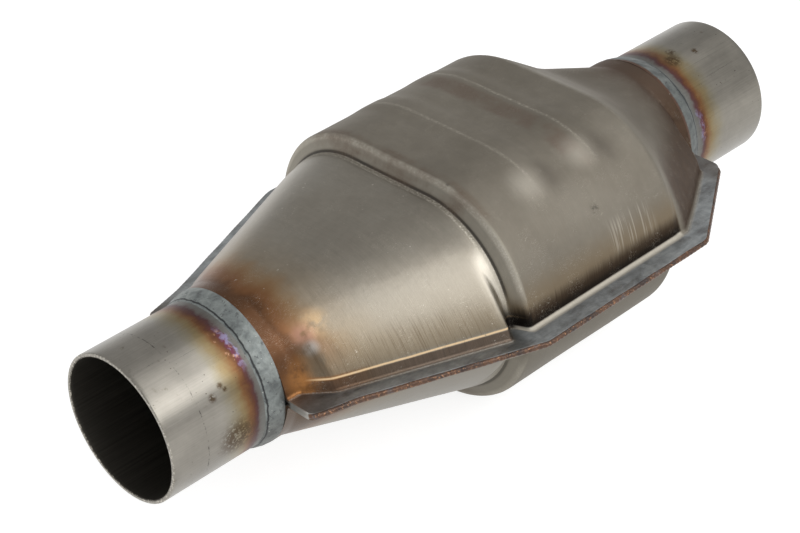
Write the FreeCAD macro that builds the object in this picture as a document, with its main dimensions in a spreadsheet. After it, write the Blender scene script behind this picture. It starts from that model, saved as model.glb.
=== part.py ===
"""Clamshell catalytic converter: two stamped half shells, two stub pipes and a mat-wrapped oval brick.

Millimetres. +X runs along the pipes' common axis from the inlet mouth, whose centre is the origin, to the
outlet mouth. +Z is up. The half shells meet on the plane z = 0, and their flanges stick out along Y.
"""
import FreeCAD, Part
import math
import os
import re
import Sketcher

Vector = FreeCAD.Vector
doc = FreeCAD.newDocument("converter")

# Driving dimensions: name, value, what it sets

DIMENSIONS = [
    ("pipe_diameter", 55.0, "outside of both stub pipes"),
    ("pipe_wall", 1.5, "wall of both stub pipes"),
    ("inlet_stub", 45.8, "inlet mouth to the shells' cut end"),
    ("outlet_stub", 46.8, "shells' other cut end to the outlet mouth"),
    ("neck_clearance", 0.15, "radial gap between a pipe and its neck"),
    ("neck_flat", 0.2, "half of the hint of a flat on top of a neck"),
    ("neck_land", 5.0, "straight stretch of each neck, as far as its pipe goes in"),
    ("sheet_thickness", 1.5, "thickness of the stamped sheet"),
    ("inlet_cone_length", 71.6, "end of the inlet neck to the land before the step"),
    ("outlet_cone_length", 44.0, "body's rear end to the outlet neck"),
    ("body_radius", 44.4, "radius of the oval body's round sides"),
    ("body_half_flat", 18.5, "half of the flat between the round sides"),
    ("step_height", 6.4, "body's surface above the inlet cone's end"),
    ("step_land", 2.0, "straight land between the inlet cone and the step's foot"),
    ("step_run", 2.8, "step's foot to the rim, along the axis"),
    ("step_rounding", 1.0, "rounding of the step's foot"),
    ("rim_rounding", 2.2, "rounding of the body's front rim"),
    ("rib_lead", 19.8, "rim to the foot of the first rib"),
    ("rib_slope", 6.5, "length of a rib's rise, and of its fall"),
    ("rib_crest", 4.5, "width of a rib's crest"),
    ("rib_height", 0.8, "how far a rib stands up from the body"),
    ("rib_pitch", 27.0, "first rib to the second"),
    ("rib_reach", 50.0, "how far round each side a rib's crest runs before it fades out, in degrees"),
    ("shoulder_run", 5.0, "body's rear end to the shoulder's section"),
    ("shoulder_radius", 41.5, "radius of the round sides there"),
    ("shoulder_half_flat", 17.2, "half of the flat there"),
    ("waist_run", 19.5, "body's rear end to the outlet cone's waist"),
    ("waist_radius", 32.7, "radius of the round sides there"),
    ("waist_half_flat", 12.8, "half of the flat there"),
    ("skirt_height", 6.0, "skirt's top edge above the split plane"),
    ("skirt_low_height", 3.0, "the same where the skirt leaves a neck"),
    ("skirt_end_height", 2.0, "the same where the skirt ends before the step"),
    ("skirt_lean", 2.4, "how far the skirt leans in over its height"),
    ("skirt_low_lean", 0.6, "the same at a neck and at the step"),
    ("skirt_reach_neck", 1.4, "skirt's foot beyond a neck"),
    ("skirt_reach_inlet", 6.7, "skirt's foot beyond the arch near the inlet"),
    ("skirt_reach_step", 8.0, "skirt's foot beyond the arch before the step"),
    ("skirt_reach_end", 0.6, "skirt's foot beyond the arch at the step"),
    ("skirt_reach_body", 1.1, "skirt's foot beyond the oval at the body's rear end"),
    ("skirt_reach_shoulder", 5.3, "skirt's foot beyond the arch at the shoulder"),
    ("skirt_reach_waist", 10.0, "skirt's foot beyond the arch at the waist"),
    ("skirt_reach_outlet", 12.0, "skirt's foot beyond the arch near the outlet"),
    ("skirt_reach_inside", 0.2, "the same for the skirt's inner face at the body"),
    ("skirt_inlet_run", 9.0, "inlet neck to the skirt's full height"),
    ("skirt_end_run", 2.9, "skirt's full height to its end at the step's land"),
    ("skirt_outlet_run", 2.4, "skirt's full height to the outlet neck"),
    ("flange_inlet_end", 14.2, "flange beyond the neck at the inlet end"),
    ("flange_bend_place", 12.2, "inlet neck to the bend in the flange's edge"),
    ("flange_bend", 6.8, "flange beyond the skirt at that bend"),
    ("flange_body", 9.9, "flange beyond the body's sides"),
    ("flange_rear_shift", 6.6, "flange's rear corner past the rear shoulder"),
    ("flange_outlet_end", 15.6, "flange beyond the neck at the outlet end"),
    ("seam_width", 1.3, "width of the fused bead on the flange edges"),
    ("seam_height", 2.4, "height of the fused bead"),
    ("weld_leg", 7.4, "ring bead's length along the pipe"),
    ("weld_overlap", 1.8, "ring bead's length over the neck"),
    ("weld_crown", 0.7, "rise of the ring bead's crown above the straight way over it"),
    ("brick_setback", 1.5, "body beyond the brick at each end"),
    ("brick_length", 74.0, "length of the ceramic brick"),
    ("mat_thickness", 3.8, "mat between the brick and the shells"),
    ("mat_clearance", 0.15, "mat to the shells, and mat to the mesh rings"),
    ("mat_joint", 1.2, "gap where the mat's ends meet"),
    ("ring_width", 3.6, "length of a mesh ring"),
]

dimensions = doc.addObject("Spreadsheet::Sheet", "Dimensions")
for row, (alias, size, note) in enumerate(DIMENSIONS, start=1):
    dimensions.set(f"A{row}", alias)
    dimensions.set(f"B{row}", str(size))
    dimensions.setAlias(f"B{row}", alias)
    dimensions.set(f"C{row}", note)

# Stations along the axis and radii that follow from the driving dimensions

DERIVED = [
    ("pipe_radius", "pipe_diameter / 2"),
    ("bore_radius", "pipe_radius - pipe_wall"),
    ("neck_radius", "pipe_radius + neck_clearance + sheet_thickness"),
    ("cone_start", "inlet_stub + neck_land"),
    ("land_start", "cone_start + inlet_cone_length"),
    ("step_foot", "land_start + step_land"),
    ("rim", "step_foot + step_run"),
    ("body_length", "brick_length + 2 * brick_setback"),
    ("body_end", "rim + body_length"),
    ("cone_end", "body_end + outlet_cone_length"),
    ("shell_back", "cone_end + neck_land"),
    ("overall_length", "shell_back + outlet_stub"),
    ("step_radius", "body_radius - step_height"),
    ("crest_radius", "body_radius + rib_height"),
    ("rib_sink", "crest_radius - body_radius * cos(rib_reach)"),
    ("rib_centre", "(crest_radius ^ 2 - body_radius ^ 2) / (2 * rib_sink)"),
    ("inlet_share", "skirt_inlet_run / inlet_cone_length"),
    ("step_share", "1 - skirt_end_run / inlet_cone_length"),
    ("skirt_inlet_out", "neck_flat + neck_radius + skirt_reach_inlet"
     " + (body_half_flat - neck_flat + step_radius - neck_radius) * inlet_share"),
    ("skirt_step_out", "neck_flat + neck_radius + skirt_reach_step"
     " + (body_half_flat - neck_flat + step_radius - neck_radius) * step_share"),
    ("skirt_run", "inlet_cone_length - skirt_inlet_run - skirt_end_run"),
    ("bend_share", "(flange_bend_place - skirt_inlet_run) / skirt_run"),
    ("bend_out", "skirt_inlet_out + (skirt_step_out - skirt_inlet_out) * bend_share + flange_bend"),
    ("mat_outer", "body_radius - sheet_thickness - mat_clearance"),
    ("brick_radius", "mat_outer - mat_thickness"),
    ("brick_start", "rim + brick_setback"),
    ("brick_end", "brick_start + brick_length"),
    ("mat_start", "brick_start + ring_width + mat_clearance"),
    ("mat_end", "brick_end - ring_width - mat_clearance"),
]

stations = doc.addObject("App::VarSet", "Stations")
OWNERS = {alias: "Dimensions" for alias, _, _ in DIMENSIONS}


def bound(text):
    """Expression text with every size's bare name led by the object that holds it."""
    def owned(match):
        name = match.group()
        return f"{OWNERS[name]}.{name}" if name in OWNERS else name

    return re.sub(r"[a-z_]+", owned, text)


doc.recompute()
for name, text in DERIVED:
    stations.addProperty("App::PropertyFloat", name, "Stations")
    stations.setExpression(name, bound(text))
    OWNERS[name] = "Stations"
doc.recompute()


def number(text):
    """Present value of an expression."""
    result = stations.evalExpression(bound(text))
    return float(getattr(result, "Value", result))


# Sketch helpers: every end of every curve is fixed by expressions

def new_sketch(body, name, role, offset="0"):
    """Sketch on one of the body's own origin planes, moved along the plane's normal."""
    sketch = body.newObject("Sketcher::SketchObject", name)
    plane = next(item for item in body.Origin.OriginFeatures if item.Role == role)
    sketch.AttachmentSupport = [(plane, "")]
    sketch.MapMode = "FlatFace"
    sketch.setExpression("AttachmentOffset.Base.z", bound(offset))
    return sketch


def fix(sketch, curve, end, across=None, up=None):
    for kind, text in (("DistanceX", across), ("DistanceY", up)):
        if text is not None:
            constraint = Sketcher.Constraint(kind, -1, 1, curve, end, number(text))
            index = sketch.addConstraint(constraint)
            sketch.setExpression(f"Constraints[{index}]", bound(text))


def line(sketch, start, end):
    ends = [Vector(number(place[0]), number(place[1]), 0) for place in (start, end)]
    curve = sketch.addGeometry(Part.LineSegment(*ends))
    fix(sketch, curve, 1, *start)
    fix(sketch, curve, 2, *end)


def arc(sketch, centre, start, end):
    """Counterclockwise arc through two places about a centre."""
    points = [Vector(number(place[0]), number(place[1]), 0) for place in (centre, start, end)]
    first, last = [math.atan2((p - points[0]).y, (p - points[0]).x) for p in points[1:]]
    circle = Part.Circle(points[0], Vector(0, 0, 1), (points[1] - points[0]).Length)
    curve = sketch.addGeometry(Part.ArcOfCircle(circle, first, last if last > first else last + math.tau))
    fix(sketch, curve, 3, *centre)
    fix(sketch, curve, 1, *start)
    fix(sketch, curve, 2, across=end[0])


def polygon(sketch, places):
    for start, end in zip(places, places[1:] + places[:1]):
        line(sketch, start, end)


def obround(sketch, radius, half_flat):
    right, left = (half_flat, "0"), (f"-( {half_flat} )", "0")
    low, high = f"-( {radius} )", radius
    arc(sketch, right, (right[0], low), (right[0], high))
    line(sketch, (right[0], high), (left[0], high))
    arc(sketch, left, (left[0], high), (left[0], low))
    line(sketch, (left[0], low), (right[0], low))


def half_section(sketch, radius, half_flat, reach, height, lean, inset, base):
    """Upper half of a shell's section: leaning skirt walls, straight flanks and a flat-topped arch.

    The flanks run from the skirt's top edge to where they touch the arch.
    """
    arch = f"( {radius} - {inset} )"
    foot = f"( {radius} + {reach} - {inset} )"
    out = f"( {foot} - {lean} )"
    top = f"( {height} - {inset} )"
    away = f"( {out} * {out} + {top} * {top} )"
    angle = f"(atan2({top}; {out}) + acos(min({arch} / sqrt({away}); 1)))"
    touch_out, touch_up = f"{arch} * cos({angle})", f"{arch} * sin({angle})"
    low, skirt, touch = f"{half_flat} + {foot}", f"{half_flat} + {out}", f"{half_flat} + {touch_out}"
    line(sketch, (f"-( {low} )", base), (low, base))
    line(sketch, (low, base), (skirt, top))
    line(sketch, (skirt, top), (touch, touch_up))
    arc(sketch, (half_flat, "0"), (touch, touch_up), (half_flat, arch))
    line(sketch, (half_flat, arch), (f"-{half_flat}", arch))
    arc(sketch, (f"-{half_flat}", "0"), (f"-{half_flat}", arch), (f"-( {touch} )", touch_up))
    line(sketch, (f"-( {touch} )", touch_up), (f"-( {skirt} )", top))
    line(sketch, (f"-( {skirt} )", top), (f"-( {low} )", base))


def between(start, end, share):
    return f"( {start} + ( {end} - {start} ) * {share} )"


def direction(start, end):
    """Unit vector from one place to another."""
    run, rise = f"( {end[0]} - ( {start[0]} ) )", f"( {end[1]} - ( {start[1]} ) )"
    length = f"sqrt( {run} * {run} + {rise} * {rise} )"
    return f"( {run} / {length} )", f"( {rise} / {length} )"


def inset_corner(before, corner, after, inset):
    """Corner moved to the left of a counterclockwise outline, by the same distance on both sides."""
    (ax, az), (bx, bz) = direction(before, corner), direction(corner, after)
    spread = f"( 1 + {ax} * {bx} + {az} * {bz} )"
    across = f"( {corner[0]} - {inset} * ( {az} + {bz} ) / {spread} )"
    up = f"( {corner[1]} + {inset} * ( {ax} + {bx} ) / {spread} )"
    return across, up


def rounded_outline(sketch, corners):
    """Closed counterclockwise outline. Each corner is two expressions and a rounding, or None."""
    ends = []
    for before, corner, after in zip(corners[-1:] + corners[:-1], corners, corners[1:] + corners[:1]):
        place, rounding = corner[:2], corner[2]
        if rounding is None:
            ends.append((place, place))
            continue
        (ax, az), (bx, bz) = direction(before, place), direction(place, after)
        cut = f"( {rounding} * tan(acos({ax} * {bx} + {az} * {bz}) / 2) )"
        first = f"( {place[0]} - {cut} * {ax} )", f"( {place[1]} - {cut} * {az} )"
        last = f"( {place[0]} + {cut} * {bx} )", f"( {place[1]} + {cut} * {bz} )"
        left = number(f"{ax} * {bz} - {az} * {bx}") > 0
        sign = "" if left else "-"
        centre = f"{first[0]} - {sign}1 * {rounding} * {az}", f"{first[1]} + {sign}1 * {rounding} * {ax}"
        arc(sketch, centre, *((first, last) if left else (last, first)))
        ends.append((first, last))
    for (_, start), (end, _) in zip(ends, ends[1:] + ends[:1]):
        line(sketch, start, end)


# Half shell

def cone_sections(side, inner):
    """Sections of a cone: place, arch radius, half flat, skirt reach, skirt height and skirt lean."""
    neck = ("neck_radius", "neck_flat", "skirt_reach_neck", "skirt_low_height", "skirt_low_lean")
    full = ("skirt_height", "skirt_lean")
    if side == "inlet":
        widths = ("neck_radius", "step_radius"), ("neck_flat", "body_half_flat")
        return [
            ("inlet_stub", *neck),
            ("cone_start", *neck),
            ("cone_start + skirt_inlet_run", *(between(*ends, "inlet_share") for ends in widths),
             "skirt_reach_inlet", *full),
            ("land_start - skirt_end_run", *(between(*ends, "step_share") for ends in widths),
             "skirt_reach_step", *full),
            ("land_start", "step_radius", "body_half_flat",
             "skirt_reach_end", "skirt_end_height", "skirt_low_lean"),
        ]
    reach = "skirt_reach_inside" if inner else "skirt_reach_body"
    return [
        ("body_end", "body_radius", "body_half_flat", reach, "skirt_end_height", "skirt_low_lean"),
        ("body_end + shoulder_run", "shoulder_radius", "shoulder_half_flat", "skirt_reach_shoulder", *full),
        ("body_end + waist_run", "waist_radius", "waist_half_flat", "skirt_reach_waist", *full),
        ("cone_end - skirt_outlet_run", "neck_radius", "neck_flat", "skirt_reach_outlet", *full),
        ("cone_end", *neck),
        ("shell_back", *neck),
    ]


def cone(body, side, kind, inset, base):
    """Loft through a cone's sections, ruled like the sheet it is drawn from."""
    sections = []
    inner = kind == "Subtractive"
    for index, (place, *shape) in enumerate(cone_sections(side, inner)):
        sketch = new_sketch(body, f"{kind}_{side}_section_{index}", "YZ_Plane", place)
        half_section(sketch, *shape, inset, base)
        sections.append(sketch)
    doc.recompute()
    loft = body.newObject(f"PartDesign::{kind}Loft", f"{kind}_{side}_cone")
    loft.Profile = sections[0]
    loft.Sections = sections[1:]
    loft.Ruled = True
    doc.recompute()


def body_outline(inner):
    """Side view of the oval body above its round sides' axis, with the rim and the step's foot."""
    inset = "sheet_thickness" if inner else "0"
    rear, front = f"( body_radius - {inset} )", f"( step_radius - {inset} )"
    crown = [("rim", "body_radius", "rim_rounding"), ("step_foot", "step_radius", "step_rounding")]
    if inner:
        full = [("body_end", "body_radius", None)] + crown + [("land_start", "step_radius", None)]
        crown = [
            (*inset_corner(before[:2], corner[:2], after[:2], "sheet_thickness"), None)
            for before, corner, after in zip(full, full[1:], full[2:])
        ]
    corners = [("land_start", "0", None), ("body_end", "0", None), ("body_end", rear, None)]
    return corners + crown + [("land_start", front, None)]


def oval(body, name, outline, height, inner):
    """Side view extruded over the flat, then turned a quarter about an axis at each end of the flat.

    The outline is measured from those axes, which lie at the given height.
    """
    sketch = new_sketch(body, f"{name}_side_view", "XZ_Plane", "-body_half_flat")
    sketch.setExpression("AttachmentOffset.Base.y", bound(height))
    rounded_outline(sketch, outline)
    doc.recompute()
    middle = body.newObject("PartDesign::Pocket" if inner else "PartDesign::Pad", f"{name}_middle")
    middle.Profile = sketch
    middle.setExpression("Length", bound("2 * body_half_flat"))
    middle.Reversed = inner
    doc.recompute()
    side = body.newObject("PartDesign::Groove" if inner else "PartDesign::Revolution", f"{name}_side")
    side.Profile = sketch
    side.ReferenceAxis = (sketch, ["H_Axis"])
    side.Angle = 90
    side.Reversed = True
    doc.recompute()
    mirrored = body.newObject("PartDesign::Mirrored", f"{name}_other_side")
    mirrored.Originals = [side]
    plane = next(item for item in body.Origin.OriginFeatures if item.Role == "XZ_Plane")
    mirrored.MirrorPlane = (plane, [""])
    body.Tip = mirrored
    doc.recompute()


def ribs(body, inner):
    """Two ribs pressed up from the body, full over the flat and sinking into the surface further round.

    Their arcs have a higher centre than the body's round sides.
    """
    inset = "sheet_thickness" if inner else "0"
    kind = "inner" if inner else "outer"
    root = f"( body_radius - rib_height / 2 - {inset} - rib_centre )"
    crest = f"( crest_radius - {inset} - rib_centre )"
    for index, foot in enumerate(("rim + rib_lead", "rim + rib_lead + rib_pitch")):
        start, end = f"( {foot} - rib_slope / 2 )", f"( {foot} + rib_slope * 2.5 + rib_crest )"
        rise, fall = f"( {foot} + rib_slope )", f"( {foot} + rib_slope + rib_crest )"
        corners = [(start, root), (end, root), (fall, crest), (rise, crest)]
        oval(body, f"{kind}_rib_{index}", [(*corner, None) for corner in corners], "rib_centre", inner)


def flange_edge(inset):
    """Corners of the flange's outer edge on the +Y side, from the inlet end to the outlet end."""
    return [
        ("inlet_stub", f"( neck_radius + flange_inlet_end - {inset} )"),
        ("( cone_start + flange_bend_place )", f"( bend_out - {inset} )"),
        ("rim", f"( body_half_flat + body_radius + flange_body - {inset} )"),
        ("( body_end + flange_rear_shift )", f"( body_half_flat + body_radius + flange_body - {inset} )"),
        ("shell_back", f"( neck_radius + flange_outlet_end - {inset} )"),
    ]


def flange(body):
    edge = flange_edge("seam_width")
    sketch = new_sketch(body, "flange_outline", "XY_Plane")
    polygon(sketch, [(across, f"-{out}") for across, out in edge] + edge[::-1])
    doc.recompute()
    plate = body.newObject("PartDesign::Pad", "flange_plate")
    plate.Profile = sketch
    plate.setExpression("Length", bound("sheet_thickness"))
    doc.recompute()


def named_body(name):
    body = doc.addObject("PartDesign::Body", name)
    body.Label = name
    return body


def upper_shell():
    body = named_body("upper_shell")
    flange(body)
    for side in ("inlet", "outlet"):
        cone(body, side, "Additive", "0", "0")
    oval(body, "outer", body_outline(False), "0", False)
    ribs(body, False)
    for side in ("inlet", "outlet"):
        cone(body, side, "Subtractive", "sheet_thickness", "-1")
    oval(body, "inner", body_outline(True), "0", True)
    ribs(body, True)
    return body


def lower_shell(upper):
    """The same stamping turned over."""
    shell = doc.addObject("Part::Mirroring", "lower_shell")
    shell.Label = "lower_shell"
    shell.Source = upper
    shell.Normal = Vector(0, 0, 1)
    return shell


# Stub pipes and ring beads

def pipe(name, start, length):
    body = named_body(name)
    sketch = new_sketch(body, f"{name}_section", "YZ_Plane")
    for radius in ("pipe_radius", "bore_radius"):
        curve = sketch.addGeometry(Part.Circle(Vector(), Vector(0, 0, 1), number(radius)))
        sketch.addConstraint(Sketcher.Constraint("Coincident", curve, 3, -1, 1))
        index = sketch.addConstraint(Sketcher.Constraint("Radius", curve, number(radius)))
        sketch.setExpression(f"Constraints[{index}]", bound(radius))
    doc.recompute()
    tube = body.newObject("PartDesign::Pad", f"{name}_wall")
    tube.Profile = sketch
    tube.setExpression("Length", bound(length))
    body.setExpression("Placement.Base.x", bound(start))
    return body


# Where along a ring bead its flat crown starts and ends
WELD_CROWN_SHARES = ("0.35", "0.7")


def ring_weld(name, seam, outward, shells):
    """Bead in the corner between a pipe and a neck's cut end, trimmed to the shells it is laid on.

    seam is the neck's cut end, and outward is -1 or 1, the way from there to the pipe's mouth.
    """
    toe = (f"( {seam} + {outward} * weld_leg )", "pipe_radius")
    foot = (seam, "pipe_radius")
    corner = (seam, "neck_radius")
    top = (f"( {seam} - {outward} * weld_overlap )", "neck_radius")
    crown = [
        (between(toe[0], top[0], share), f"( {between(toe[1], top[1], share)} + weld_crown )")
        for share in WELD_CROWN_SHARES
    ]
    bead = named_body(f"{name}_bead")
    sketch = new_sketch(bead, f"{name}_profile", "XZ_Plane")
    polygon(sketch, [toe, foot, corner, top] + crown[::-1])
    doc.recompute()
    turned = bead.newObject("PartDesign::Revolution", f"{name}_turned")
    turned.Profile = sketch
    turned.ReferenceAxis = (sketch, ["H_Axis"])
    turned.Angle = 360
    doc.recompute()
    trimmed = bead
    for shell in shells:
        cut = doc.addObject("Part::Cut", f"{name}_on_{shell.Name}")
        cut.Base = trimmed
        cut.Tool = shell
        trimmed = cut
    trimmed.Label = name
    return trimmed


def seam_weld():
    """Fused bead along the edges of both flanges on the +Y side."""
    body = named_body("seam_weld_left")
    sketch = new_sketch(body, "seam_outline", "XY_Plane")
    polygon(sketch, flange_edge("seam_width") + flange_edge("0")[::-1])
    doc.recompute()
    bead = body.newObject("PartDesign::Pad", "seam_bead")
    bead.Profile = sketch
    bead.setExpression("Length", bound("seam_height"))
    bead.Midplane = True
    doc.recompute()
    return body


def mirrored_seam(seam):
    other = doc.addObject("Part::Mirroring", "seam_weld_right")
    other.Label = "seam_weld_right"
    other.Source = seam
    other.Normal = Vector(0, 1, 0)
    return other


# Brick, mat and mesh rings

def oval_bar(name, start, length, radii):
    """Bar of oval section, hollow where two radii are given."""
    body = named_body(name)
    sketch = new_sketch(body, f"{name}_section", "YZ_Plane", start)
    for radius in radii:
        obround(sketch, radius, "body_half_flat")
    doc.recompute()
    bar = body.newObject("PartDesign::Pad", f"{name}_bar")
    bar.Profile = sketch
    bar.setExpression("Length", bound(length))
    doc.recompute()
    return body


def support_mat():
    """Mat wrapped once round the brick, its ends meeting under the flat."""
    body = oval_bar("support_mat", "mat_start", "mat_end - mat_start", ("mat_outer", "brick_radius"))
    sketch = new_sketch(body, "mat_joint_outline", "XY_Plane")
    low, high = "-mat_joint / 2", "mat_joint / 2"
    polygon(sketch, [("mat_start", low), ("mat_end", low), ("mat_end", high), ("mat_start", high)])
    doc.recompute()
    joint = body.newObject("PartDesign::Pocket", "mat_joint_gap")
    joint.Profile = sketch
    joint.setExpression("Length", bound("body_radius"))
    doc.recompute()
    return body


def build():
    upper = upper_shell()
    shells = [upper, lower_shell(upper)]
    seam = seam_weld()
    radii = ("mat_outer", "brick_radius")
    pieces = shells + [
        pipe("inlet_pipe", "0", "cone_start"),
        pipe("outlet_pipe", "cone_end", "overall_length - cone_end"),
        ring_weld("inlet_weld", "inlet_stub", -1, shells),
        ring_weld("outlet_weld", "shell_back", 1, shells),
        seam,
        mirrored_seam(seam),
        oval_bar("catalyst_brick", "brick_start", "brick_length", ("brick_radius",)),
        support_mat(),
        oval_bar("inlet_mesh_ring", "brick_start", "ring_width", radii),
        oval_bar("outlet_mesh_ring", "brick_end - ring_width", "ring_width", radii),
    ]
    doc.recompute()
    return pieces


def check(pieces):
    for item in doc.Objects:
        if "Invalid" in item.State or "Error" in item.State:
            raise RuntimeError(f"{item.Name} failed: {item.State}")
    for piece in pieces:
        shape = piece.Shape
        if shape.isNull() or not shape.isValid() or not shape.Solids:
            raise RuntimeError(f"{piece.Label} has no valid solid")


pieces = build()
check(pieces)
os.makedirs("parts", exist_ok=True)
for piece in pieces:
    piece.Shape.exportStep(f"parts/{piece.Label}.step")
    box = piece.Shape.optimalBoundingBox()
    print(piece.Label, len(piece.Shape.Solids), round(piece.Shape.Volume), box)
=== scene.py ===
"""Looks of a clamshell catalytic converter: two stamped half shells, two stub pipes and their weld beads.

Lengths are in millimetres and become metres where a mesh is made. +X runs from the inlet mouth to the outlet
mouth, +Z is up, square to the plane where the half shells meet.
"""
import math

import bpy
import numpy as np
from mathutils import Matrix, Vector


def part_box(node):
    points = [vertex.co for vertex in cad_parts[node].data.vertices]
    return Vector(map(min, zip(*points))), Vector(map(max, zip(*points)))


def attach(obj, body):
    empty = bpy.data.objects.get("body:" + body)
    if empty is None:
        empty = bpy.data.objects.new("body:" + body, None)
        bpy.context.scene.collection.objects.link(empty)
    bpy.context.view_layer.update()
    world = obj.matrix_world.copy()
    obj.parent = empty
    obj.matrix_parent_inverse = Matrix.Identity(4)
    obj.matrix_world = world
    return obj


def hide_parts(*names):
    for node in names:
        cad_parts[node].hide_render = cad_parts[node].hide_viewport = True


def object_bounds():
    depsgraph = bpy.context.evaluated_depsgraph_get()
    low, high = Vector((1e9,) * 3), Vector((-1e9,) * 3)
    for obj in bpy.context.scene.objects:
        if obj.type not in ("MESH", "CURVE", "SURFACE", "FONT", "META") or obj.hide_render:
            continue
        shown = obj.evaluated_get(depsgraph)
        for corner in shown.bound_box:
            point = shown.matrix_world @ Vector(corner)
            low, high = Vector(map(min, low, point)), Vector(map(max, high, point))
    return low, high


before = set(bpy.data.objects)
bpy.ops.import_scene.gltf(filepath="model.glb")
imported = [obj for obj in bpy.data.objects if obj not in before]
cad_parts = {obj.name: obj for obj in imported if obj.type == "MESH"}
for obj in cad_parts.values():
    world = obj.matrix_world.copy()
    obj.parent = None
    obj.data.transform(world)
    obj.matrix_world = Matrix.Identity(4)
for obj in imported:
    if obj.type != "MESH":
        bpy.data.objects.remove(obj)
cad_low, cad_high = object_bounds()

METRES = 0.001


def span(node):
    """Lowest and highest corner of a CAD node, in millimetres."""
    low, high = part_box(node)
    return [value / METRES for value in low], [value / METRES for value in high]


# Sizes read from the frame
pipe_low, pipe_high = span("inlet_pipe")
far_low, far_high = span("outlet_pipe")
bead_low, bead_high = span("inlet_weld")
far_bead_low, far_bead_high = span("outlet_weld")
shell_low, shell_high = span("upper_shell")
brick_low, brick_high = span("catalyst_brick")

PIPE_RADIUS = pipe_high[2]
SHELL_START = shell_low[0]
SHELL_END = shell_high[0]
FLANGE_REACH = cad_high[1] / METRES
REST_HEIGHT = cad_low[2]

# Sizes of the stamping
SHEET = 1.5
PIPE_WALL = 1.5
PIPE_EDGE_ROUNDING = 0.35
SEAM_WIDTH = 1.3
SEAM_HEIGHT = 1.2
CREASE_ROUNDING = 1.8
SKIRT_ROUNDING = 1.8
CORNER_ROUNDING = 2.5
BULGE_TURN = math.radians(10)
ARCH_SPLIT = math.radians(62)
ARCH_LIMIT = math.radians(60)

# Stations along the half shell: place, arch radius, half width of the flat crown, then the skirt's foot, top
# and lean
STATIONS = [
    (45.8, 29.15, 0.2, 30.75, 3.0, 0.6),
    (50.8, 29.15, 0.2, 30.75, 3.0, 0.6),
    (59.8, 30.26, 2.5, 39.46, 6.0, 2.4),
    (119.5, 37.64, 17.76, 63.4, 6.0, 2.4),
    (122.4, 38.0, 18.5, 57.1, 2.0, 0.6),
    (124.4, 38.0, 18.5, 56.5, 2.0, 0.05),
    (127.2, 44.4, 18.5, 62.9, 2.0, 0.05),
    (204.2, 44.4, 18.5, 62.9, 2.0, 0.05),
    (209.2, 41.5, 17.2, 64.0, 6.0, 2.4),
    (223.7, 32.7, 12.8, 55.5, 6.0, 2.4),
    (245.8, 29.15, 0.2, 41.35, 6.0, 2.4),
    (248.2, 29.15, 0.2, 30.75, 3.0, 0.6),
    (253.2, 29.15, 0.2, 30.75, 3.0, 0.6),
]
# Roundings of the crown line at the stations between its two ends
CROWN_ROUNDINGS = [12, 30, 30, 20, 1.0, 2.2, 5.0, 12, 25, 30, 12]
STEP_FOOT = STATIONS[5][0]
RIM = STATIONS[6][0]
BODY_END = STATIONS[7][0]

# Outer edge of the flange, weld bead included: place and distance from the middle
FLANGE_EDGE = [(45.8, 43.35), (63.0, 47.8), (127.2, 72.8), (210.8, 72.8), (253.2, 44.75)]

# Ribs across the crown: middles, half widths of crest and foot, and where they fade out round the side
RIB_MIDDLES = (155.75, 182.75)
RIB_CREST_HALF = 2.25
RIB_FOOT_HALF = 8.75
RIB_HEIGHT = 0.8
RIB_FADE_START = math.radians(23)
RIB_FADE_END = math.radians(46)

# Mesh density
STATION_PITCH = 1.6
CORNER_STEPS = 6
FINE_STRETCHES = [(56.0, 63.0, 0.7), (118.0, 128.5, 0.35), (203.0, 212.0, 0.6), (243.0, 250.0, 0.6)]
FLANGE_COLUMNS = 7
CREASE_COLUMNS = 7
WALL_COLUMNS = 44
ARCH_COLUMNS = 16
FLAT_COLUMNS = 7
FLANK_STEPS = 30
ARCH_STEPS = 16
SKIRT_STEPS = 12
ROUNDING_STEPS = 9
WALL_MARKS = 500
PIPE_STEPS = 40
PIPE_RIM_STEPS = 4
PIPE_SEGMENTS = 256
BEAD_STEPS = 21
BEAD_SEGMENTS = 720
SEAM_PITCH = 0.35
SEAM_STEPS = 14
BRICK_OUTLINE_STEPS = 24

# Unevenness of stamped sheet, and how the skirt and the flange's corners are averaged along the shell
WAVE_HEIGHT = 0.06
SKIRT_BLEND = 1.2
FLANGE_BLEND = 1.5


def smooth_step(value, low, high):
    """0 below low, 1 above high, smooth between."""
    share = np.clip((np.asarray(value, float) - low) / (high - low), 0, 1)
    return share * share * (3 - 2 * share)


def rounded_line(points, radii, pitch, steps):
    """Points along a polyline whose inner corners are arcs of the given radii."""
    points = [np.array(point, float) for point in points]
    corners = []
    for before, corner, after, radius in zip(points, points[1:], points[2:], radii):
        back = (before - corner) / np.linalg.norm(before - corner)
        ahead = (after - corner) / np.linalg.norm(after - corner)
        half_turn = (math.pi - math.acos(np.clip(back @ ahead, -1, 1))) / 2
        room = 0.45 * min(np.linalg.norm(before - corner), np.linalg.norm(after - corner))
        reach = min(radius * math.tan(half_turn), room)
        corners.append((corner, back * reach, ahead * reach))
    line = [points[0]]

    def run_to(end):
        start = line[-1]
        count = max(1, int(math.ceil(np.linalg.norm(end - start) / pitch)))
        for step in range(1, count + 1):
            line.append(start + (end - start) * step / count)

    for corner, back, ahead in corners:
        run_to(corner + back)
        for step in range(1, steps + 1):
            t = step / steps
            line.append(corner + back * (1 - t) ** 2 + ahead * t ** 2)
    run_to(points[-1])
    return np.array(line)


def lengths_along(line):
    """Distance of each point of a polyline from its start."""
    steps = np.linalg.norm(np.diff(line, axis=0), axis=1)
    return np.concatenate([[0], np.cumsum(steps)])


def point_at(line, lengths, marks):
    """Points of a polyline at the given distances from its start."""
    return np.stack([np.interp(marks, lengths, line[:, 0]), np.interp(marks, lengths, line[:, 1])], axis=-1)


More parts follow.
